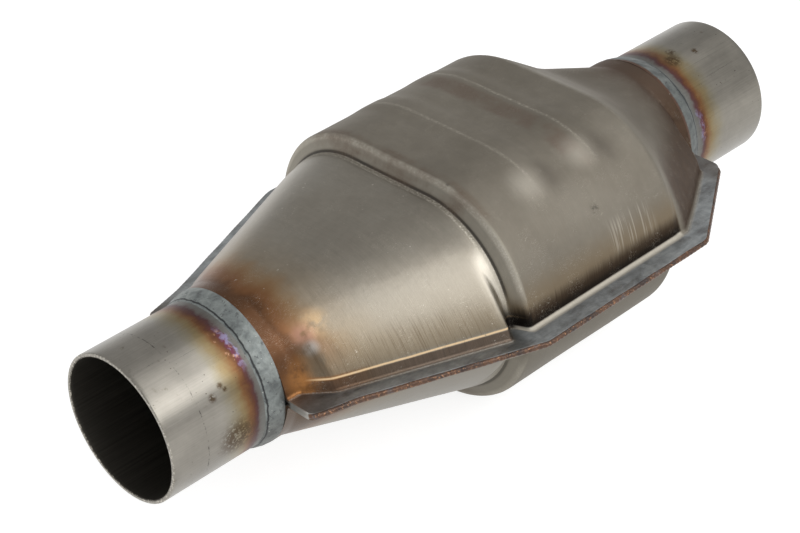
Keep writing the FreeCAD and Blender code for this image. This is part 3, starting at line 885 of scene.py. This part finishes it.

    # Step: bright specks along the cone's end, worn metal with a painted highlight; a painted highlight with
    # wear on the cone's side before the step; a dark line of painted shade at the step's foot; painted
    # highlights on the wall and along the rim; stains on the rim
    speck = s.smooth(s.noise(s.place, 1.5, 3.0, 0.65), 0.50, 0.60)
    s.paint(BRIGHT, zone(STEP_FOOT - 1.6, STEP_FOOT - 0.4, 0.6), fade(6, 12), s.level(speck, 0.65, 0.25))
    # Painted highlight with wear: a bright mottled patch on the cone's side before the step
    rubbed_and_sheen = s.smooth(along, STEP_FOOT - 9.0, STEP_FOOT - 1.5)
    rubbed_and_sheen = s.times(rubbed_and_sheen, s.smooth(along, STEP_FOOT, STEP_FOOT - 0.6))
    s.paint(BRIGHT, rubbed_and_sheen, s.between(distance, 13, 27, 8), s.level(grain, 0.9, 0.35))
    # Painted shade: a dark line in the corner at the step's foot
    s.paint(GROUND, zone(STEP_FOOT, STEP_FOOT + 0.3, 0.3), fade(10, 16), 0.8)
    # Painted highlights: a lighter step wall and a light line along the rim
    s.paint(s.shade((0.40, 0.375, 0.32), light), zone(STEP_FOOT + 0.9, RIM + 0.6, 0.6), fade(8, 14), 0.55)
    s.paint(BRIGHT, zone(RIM - 0.5, RIM + 0.1, 0.6), fade(12, 18), s.level(speck, 0.3, 0.35))
    stain = s.times(zone(RIM - 1.5, RIM + 2.0, 3.0), crown, s.smooth(patch, 0.30, 0.70), 0.8)
    s.paint((0.13, 0.078, 0.05), stain, s.plus(grain, 0.1))
    for centre, size in BODY_MARKS:
        s.paint(GROUND, s.spot(centre, size * 0.2, size), s.smooth(mottle, 0.42, 0.56), 0.6)

    # Ribs: thin lines with specks along their edges, worn metal with painted highlights; a reddish valley
    # with painted shade before the second one; painted highlights on their ends, painted shade behind them
    wavering = s.plus(along, s.wander(s.place, 0.12, 0.8))
    for place, strength in WORN_AND_HIGHLIT_LINES:
        line = s.smooth(s.away(wavering, place), 1.1, 0.1)
        s.paint(BRIGHT, line, crown, s.level(speck, 0.75, 0.2), strength)
    valley = zone(RIB_MIDDLES[1] - 9.0, RIB_MIDDLES[1] - 4.0, 3.0)
    s.paint((0.175, 0.128, 0.100), valley, crown, s.smooth(patch, 0.30, 0.62), 0.6)
    for centre in RIB_END_HIGHLIGHTS:
        s.paint(s.shade((0.56, 0.52, 0.45), light), s.spot(centre, 0.2, 10.0), 0.42)
    for centre in RIB_END_SHADES:
        s.paint((0.11, 0.093, 0.078), s.spot(centre, 0.5, 9.0), 0.35)

    # Pale rubbed strokes low on the body
    strokes = s.noise(over, (1.3, 0.04, 1.0), 2.0, 0.5, shift=(7.0, 0.0, 0.0))
    rubbed_and_sheen = s.times(zone(174, 192, 4.0), s.between(distance, 12, 18, 5), upper_side)
    s.paint(BRIGHT, s.smooth(strokes, 0.50, 0.66), rubbed_and_sheen, 0.30)

    # Flange: blue-grey with smudges, a painted highlight along the crease, a painted highlight on the fillet
    # beside the body and brown ends
    on_flange = fade(0.6, -0.4)
    blue = s.ramp(s.noise(s.place, (0.10, 0.22, 0.22), 5.0, 0.65, 0.4), FLANGE_TONES)
    s.paint(s.shade(blue, grime), on_flange, upper_side, 0.94)
    # Painted highlights along the crease and on the fillet beside the body
    s.paint((0.42, 0.40, 0.36), s.between(distance, -0.4, 0.5, 0.5), s.level(speck, 0.5, 0.3), upper_side)
    s.paint(BRIGHT, on_body, upper_side, s.between(distance, 0.1, 1.5, 0.7), s.level(grain, 0.4, 0.55))
    ends = s.maths("MAXIMUM", s.smooth(along, 66, 50), s.smooth(along, 236, 250))
    s.paint((0.11, 0.075, 0.05), on_flange, ends, 0.5)

    # Fine scratches and flecks
    scratch = s.noise(s.place, (0.25, 1.4, 0.25), 1.0, 0.4, 3.0, (3.0, 9.0, 1.0))
    scratch = s.times(s.smooth(s.away(scratch, 0.5), 0.014, 0.0), s.smooth(patch, 0.46, 0.60))
    s.paint(BRIGHT, scratch, 0.40)
    flecks = s.times(s.smooth(s.noise(s.place, 0.8, 2.0, 0.5), 0.71, 0.76), s.smooth(patch, 0.44, 0.54))
    s.paint(BRIGHT, flecks, on_cone, 0.6)

    # Gas side, painted shade over the lower shell, light cut ends of the flange
    inside = s.smooth(side, 0.5, 0.4)
    s.paint(s.shade((0.075, 0.062, 0.05), grime), inside)
    # Painted shade: the lower shell darker
    s.paint(s.shade((0.115, 0.104, 0.082), light), s.smooth(side, 1.4, 1.6), fade(0.5, 2.0), 0.5)
    s.paint((0.42, 0.41, 0.38), s.smooth(along, SHELL_START + 0.30, SHELL_START + 0.05), on_flange, 0.85)
    rough = s.plus(s.times(grain, 0.14), s.times(mottle, 0.10), 0.48)
    rough = s.plus(rough, s.times(on_cone, -0.22), s.times(inside, 0.1))
    height = s.plus(s.times(grain, 0.5), s.times(fine, 0.35), s.times(mottle, 0.8))
    return s.finish(rough, height, 0.06)


# Heat colours of a tube by their share of the way out from the bead, and how far out they reach
HEAT_REACH = 17.0
HEAT_TINTS = [
    (0.00, (0.150, 0.150, 0.140)), (0.10, (0.130, 0.118, 0.108)), (0.17, (0.075, 0.036, 0.034)),
    (0.25, (0.105, 0.040, 0.022)), (0.35, (0.175, 0.082, 0.032)), (0.50, (0.215, 0.158, 0.078)),
    (0.78, (0.235, 0.208, 0.140)), (1.0, (0.28, 0.26, 0.215)),
]
SCRIBE_PLACE = 14.6


def pipe_finish(name, weld, way, tone, violet, marks):
    """Drawn stainless tube: lengthwise streaks, heat colours near its bead, a dark bore.

    tone is its plain colour; violet is the place of the strongest heat colours; marks are (place, radius).
    """
    s = Surface(name, 1.0, 0.3)
    radius = s.maths("SQRT", s.plus(s.times(s.y, s.y), s.times(s.z, s.z)))
    around = s.times(s.maths("ARCTAN2", s.y, s.z), PIPE_RADIUS)
    over = s.join(s.x, around, 0.0)
    streak = s.noise(over, (0.02, 1.3, 1.0), 5.0, 0.75)
    fine = s.noise(over, (0.10, 6.0, 1.0), 2.0, 0.6)
    mottle = s.noise(s.place, 0.4, 5.0, 0.65)
    cloud = s.noise(s.place, (0.06, 0.06, 0.06))
    s.colour = s.shade(tone, s.level(cloud, 0.6, 0.7))
    light = s.plus(s.times(streak, 0.60), s.times(mottle, 0.16))
    s.colour = s.shade(s.colour, s.plus(light, 0.62))

    # Heat colours, from the bead outwards
    reach = s.times(s.plus(s.x, -weld), way)
    reach = s.plus(reach, s.wander(s.place, 0.08, 7.0), s.wander(s.place, 0.45, 2.4))
    share = s.times(reach, 1 / HEAT_REACH)
    tint = s.shade(s.ramp(share, HEAT_TINTS), s.plus(light, 0.66))
    s.paint(tint, s.smooth(share, 1.1, 0.50), 0.95)
    hot = s.spot(violet, 2.0, 9.0)
    s.paint((0.155, 0.045, 0.080), s.between(share, 0.13, 0.22, 0.05), s.level(hot, 0.70, 0.10), 0.8)
    blue = s.smooth(s.noise(s.place, 0.40), 0.44, 0.60)
    s.paint((0.30, 0.29, 0.45), s.between(share, 0.10, 0.20, 0.05), hot, blue, 0.7)
    flash = s.smooth(s.noise(s.place, 0.6), 0.58, 0.68)
    s.paint((0.60, 0.36, 0.24), hot, s.between(share, 0.18, 0.32, 0.05), flash, 0.6)

    # Scribe line and stains
    scribe = s.plus(s.x, s.wander(s.place, 0.3, 0.5))
    line = s.smooth(s.away(scribe, SCRIBE_PLACE), 0.26, 0.08)
    dashes = s.smooth(s.noise(s.place, 0.6, 4.0, 0.7), 0.47, 0.60)
    s.paint((0.05, 0.042, 0.035), line, dashes, 0.8)
    stains = s.noise(s.place, (0.22, 0.22, 0.22), 4.0, 0.7, shift=(5.0, 1.0, 3.0))
    s.paint((0.11, 0.082, 0.05), s.smooth(stains, 0.62, 0.76), 0.6)
    dots = s.smooth(s.noise(s.place, 0.9, 1.0, 0.4), 0.75, 0.80)
    s.paint((0.06, 0.045, 0.03), dots, 0.8)
    ragged = s.noise(s.place, 0.9)
    for centre, size in marks:
        s.paint((0.07, 0.042, 0.02), s.spot(centre, size * 0.4, size), s.smooth(ragged, 0.36, 0.50), 0.85)

    # Dark bore, and nicks on the inlet mouth's cut edge
    inside = s.smooth(radius, PIPE_RADIUS - 0.9, PIPE_RADIUS - 1.3)
    s.paint(s.shade((0.115, 0.106, 0.090), s.level(streak, 1.4, 0.2)), inside)
    nicked = s.times(s.smooth(s.x, 0.4, 0.1), s.smooth(s.noise(s.place, 1.2, 3.0, 0.7), 0.50, 0.66))
    s.paint(s.shade(BRIGHT, 1.2), nicked, 0.7)
    rough = s.plus(s.times(streak, 0.22), 0.20, s.times(s.smooth(share, 0.6, 0.1), 0.14))
    rough = s.plus(rough, s.times(inside, 0.25))
    height = s.plus(s.times(streak, 0.6), s.times(fine, 0.4), s.times(mottle, 0.3))
    return s.finish(rough, height, 0.04)


BEAD_TONES = [
    (0.30, (0.135, 0.147, 0.145)), (0.44, (0.215, 0.236, 0.230)),
    (0.58, (0.280, 0.304, 0.292)), (0.76, (0.350, 0.375, 0.358)),
]
# Dark lines along a bead: share of the way up it and half width
BEAD_LINES = ((0.10, 0.016), (0.93, 0.012))


def bead_finish(name, tone, burnt):
    """Dull oxidised weld bead with dark wavy edges. It is brown beyond the share burnt of the way up it."""
    s = Surface(name, 0.55, 0.5)
    wavy = s.plus(s.attribute("bead")[0], s.wander(s.place, 0.25, 0.16))
    cloud = s.noise(s.place, 0.22, 4.0, 0.6, 0.5)
    grit = s.noise(s.place, 1.1, 3.0, 0.7)
    s.colour = s.shade(s.ramp(cloud, BEAD_TONES), s.times(s.level(grit, 0.5, 0.72), tone))
    s.paint((0.10, 0.05, 0.03), s.smooth(wavy, burnt, burnt + 0.12))
    # Painted shade: the bead darker towards its underside
    s.paint((0.09, 0.085, 0.075), s.smooth(s.z, 4, -14), 0.55)
    pits = s.noise(s.place, (0.5, 0.5, 0.5), 4.0, 0.7, shift=(2.0, 5.0, 1.0))
    s.paint((0.045, 0.045, 0.047), s.smooth(pits, 0.42, 0.34), 0.6)
    specks = s.smooth(s.noise(s.place, 0.8), 0.66, 0.72)
    s.paint((0.62, 0.62, 0.58), specks, 0.6)
    for middle, half in BEAD_LINES:
        line = s.smooth(s.away(wavy, middle), half + 0.035, half)
        s.paint((0.018, 0.018, 0.02), line, 0.9)
    return s.finish(s.level(grit, 0.25, 0.36), s.plus(s.times(grit, 0.5), cloud), 0.16)


SEAM_TONES = [
    (0.30, (0.070, 0.062, 0.062)), (0.44, (0.120, 0.082, 0.066)),
    (0.58, (0.170, 0.098, 0.068)), (0.74, (0.145, 0.142, 0.148)),
]


def seam_finish():
    """Fused sheet edge: copper-brown ripples with bluish and dark stretches."""
    s = Surface("fused edge", 0.9, 0.42)
    cloud = s.noise(s.place, 0.16, 4.0, 0.6)
    grit = s.noise(s.place, 1.1, 3.0, 0.7)
    ripple = s.noise(s.place, (1.1, 0.25, 0.25))
    s.colour = s.shade(s.ramp(cloud, SEAM_TONES), s.level(ripple, 0.7, 0.42))
    flecks = s.smooth(grit, 0.55, 0.66)
    s.paint((0.50, 0.27, 0.15), flecks, 0.65)
    return s.finish(s.level(grit, 0.25, 0.28), s.plus(ripple, s.times(grit, 0.6)), 0.15)


def ceramic_finish():
    """Fired ceramic with its brown coating."""
    s = Surface("coated ceramic", 0.0, 0.85)
    cloud = s.noise(s.place, 0.08, 4.0, 0.6)
    grit = s.noise(s.place, 2.0, 3.0, 0.7)
    brown = s.ramp(cloud, [(0.3, (0.34, 0.27, 0.19)), (0.7, (0.50, 0.42, 0.31))])
    s.colour = s.shade(brown, s.level(grit, 0.5, 0.75))
    return s.finish(None, grit, 0.05)


def mat_finish():
    """Soft mineral fibre."""
    s = Surface("mineral fibre", 0.0, 0.95)
    fibres = s.noise(s.place, (1.0, 3.0, 3.0), 4.0, 0.75, 1.5)
    s.colour = s.ramp(fibres, [(0.3, (0.50, 0.46, 0.38)), (0.7, (0.74, 0.70, 0.60))])
    return s.finish(None, fibres, 0.3)


def wire_finish():
    """Knitted wire: crossing loops of thin wire with dark gaps."""
    s = Surface("knitted wire", 1.0, 0.4)
    weave = s.node("TexVoronoi", {"Vector": s.place, "Scale": 0.9}, feature="DISTANCE_TO_EDGE")
    wire = s.smooth(weave.outputs["Distance"], 0.16, 0.05)
    s.colour = s.mix(wire, (0.03, 0.028, 0.026), (0.36, 0.33, 0.30))
    return s.finish(None, wire, 0.3)


# Plain colours of the two tubes, and places of their strongest heat colours and of their stains
NEAR_TONE = (0.270, 0.253, 0.222)
FAR_TONE = (0.235, 0.220, 0.190)
NEAR_VIOLET = (36.2, -16.5, 22.0)
NEAR_MARKS = (
    ((20.7, -24.1, 13.2), 1.5), ((25.0, -22.8, 15.3), 1.1), ((26.2, -23.8, 13.8), 0.9),
    ((27.0, -27.0, -4.5), 7.0),
)
FAR_VIOLET = (258.5, -26.4, 7.5)
FAR_MARKS = (((268.9, -6.9, 26.6), 3.6), ((272.5, -3.0, 27.3), 2.0), ((281.0, -8.0, 26.3), 1.5))

sheet_steel = shell_finish()
near_weld = bead_finish("oxidised inlet bead", 1.0, 1.5)
far_weld = bead_finish("oxidised outlet bead", 0.62, 0.62)
edge_steel = seam_finish()
for piece, finish in (
        (upper, sheet_steel), (lower, sheet_steel),
        (near_pipe, pipe_finish("inlet tube steel", bead_low[0], -1, NEAR_TONE, NEAR_VIOLET, NEAR_MARKS)),
        (far_pipe, pipe_finish("outlet tube steel", far_bead_high[0], 1, FAR_TONE, FAR_VIOLET, FAR_MARKS)),
        (near_bead, near_weld), (far_bead, far_weld), (right_seam, edge_steel), (left_seam, edge_steel),
        (brick, ceramic_finish())):
    piece.data.materials.append(finish)
wire_mesh = wire_finish()
for node, finish in (
        ("support_mat", mat_finish()), ("inlet_mesh_ring", wire_mesh), ("outlet_mesh_ring", wire_mesh)):
    inner_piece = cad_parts[node]
    inner_piece.data.materials.clear()
    inner_piece.data.materials.append(finish)


# Camera, floor and light

CAMERA_PLACE = Vector((-298.94, -466.23, 423.89)) * METRES
CAMERA_AIM = Vector((126.39, -0.57, 0.0)) * METRES
CAMERA_ROLL = math.radians(-3.365)
CAMERA_LENS = 95.83
CAMERA_SENSOR = 36.0

FLOOR_HALF = 6.0
FLOOR_GAP = 0.0002
FLOOR_COLOUR = 0.45
FLOOR_OWN_LIGHT = 0.82

SKY_WHITE_BELOW = 0.0
SKY_GREY_ABOVE = 0.22
SKY_GREY = 0.58
SKY_FILL = 0.55

# Soft boxes: name, bearing from -Y towards +X and height in degrees, distance and size, brightness
SOFT_BOXES = [
    ("soft box", 12.0, 38.0, 1.2, (1.10, 0.60), 2.6),
    ("side box", 66.0, 60.0, 1.2, (0.85, 0.38), 1.6),
]


def add_camera():
    data = bpy.data.cameras.new("photo view")
    data.lens = CAMERA_LENS
    data.sensor_width = CAMERA_SENSOR
    camera = bpy.data.objects.new("photo view", data)
    ahead = (CAMERA_AIM - CAMERA_PLACE).normalized()
    level = ahead.cross(Vector((0, 0, 1))).normalized()
    lifted = level.cross(ahead)
    right = level * math.cos(CAMERA_ROLL) + lifted * math.sin(CAMERA_ROLL)
    top = lifted * math.cos(CAMERA_ROLL) - level * math.sin(CAMERA_ROLL)
    turn = Matrix((right, top, -ahead)).transposed().to_4x4()
    camera.matrix_world = Matrix.Translation(CAMERA_PLACE) @ turn
    bpy.context.scene.collection.objects.link(camera)
    bpy.context.scene.camera = camera


def seen_directly(tree):
    """1 for camera, glossy and transmission rays, which show the white background."""
    path = add_node(tree, "LightPath", {})
    total = path.outputs["Is Camera Ray"]
    for name in ("Is Glossy Ray", "Is Transmission Ray"):
        total = add_node(tree, "Math", {0: total, 1: path.outputs[name]}, operation="MAXIMUM").outputs[0]
    return total


def add_floor():
    """A pale floor that takes the object's shadow and shows white around it."""
    mesh = bpy.data.meshes.new("floor")
    size = FLOOR_HALF
    corners = [(-size, -size, 0), (size, -size, 0), (size, size, 0), (-size, size, 0)]
    mesh.from_pydata(corners, [], [(0, 1, 2, 3)])
    floor = bpy.data.objects.new("floor", mesh)
    floor.location.z = REST_HEIGHT - FLOOR_GAP
    bpy.context.scene.collection.objects.link(floor)
    material = bpy.data.materials.new("floor")
    material.use_nodes = True
    tree = material.node_tree
    tree.nodes.clear()
    matte = add_node(tree, "BsdfDiffuse", {"Color": FLOOR_COLOUR})
    strength = add_node(tree, "Math", {0: seen_directly(tree), 1: FLOOR_OWN_LIGHT}, operation="MULTIPLY")
    glow = add_node(tree, "Emission", {"Strength": strength.outputs[0]})
    both = add_node(tree, "AddShader", {0: matte.outputs[0], 1: glow.outputs[0]})
    add_node(tree, "OutputMaterial", {"Surface": both.outputs[0]})
    floor.data.materials.append(material)


def add_lamp(name, bearing, height, distance, size, light):
    """A soft box that faces the object, with its surface's brightness."""
    data = bpy.data.lights.new(name, "AREA")
    data.shape = "RECTANGLE"
    data.size, data.size_y = size
    data.energy = light * math.pi * size[0] * size[1]
    lamp = bpy.data.objects.new(name, data)
    aim = Vector(((pipe_low[0] + far_high[0]) / 2 * METRES, 0, 0))
    turn, lift = math.radians(bearing), math.radians(height)
    flat = math.cos(lift)
    way = Vector((math.sin(turn) * flat, -math.cos(turn) * flat, math.sin(lift)))
    lamp.location = aim + way * distance
    lamp.rotation_euler = (-way).to_track_quat("-Z", "Y").to_euler()
    bpy.context.scene.collection.objects.link(lamp)


def add_world():
    """White round the horizon, mid grey overhead; even and dimmer as fill light."""
    world = bpy.data.worlds.new("studio")
    bpy.context.scene.world = world
    world.use_nodes = True
    tree = world.node_tree
    background = tree.nodes["Background"]
    background.inputs["Color"].default_value = (1, 1, 1, 1)
    way = add_node(tree, "TexCoord", {}).outputs["Generated"]
    upward = add_node(tree, "SeparateXYZ", {0: way}).outputs["Z"]
    shown = add_node(tree, "MapRange", {
        "Value": upward, "From Min": SKY_WHITE_BELOW, "From Max": SKY_GREY_ABOVE, "To Min": 1.0,
        "To Max": SKY_GREY}, interpolation_type="SMOOTHSTEP")
    choice = add_node(tree, "Mix", {0: seen_directly(tree), 2: SKY_FILL, 3: shown.outputs[0]})
    feed(tree, background.inputs["Strength"], choice.outputs[0])


add_camera()
add_floor()
add_world()
for soft_box in SOFT_BOXES:
    add_lamp(*soft_box)
bpy.context.scene.view_settings.view_transform = "Standard"
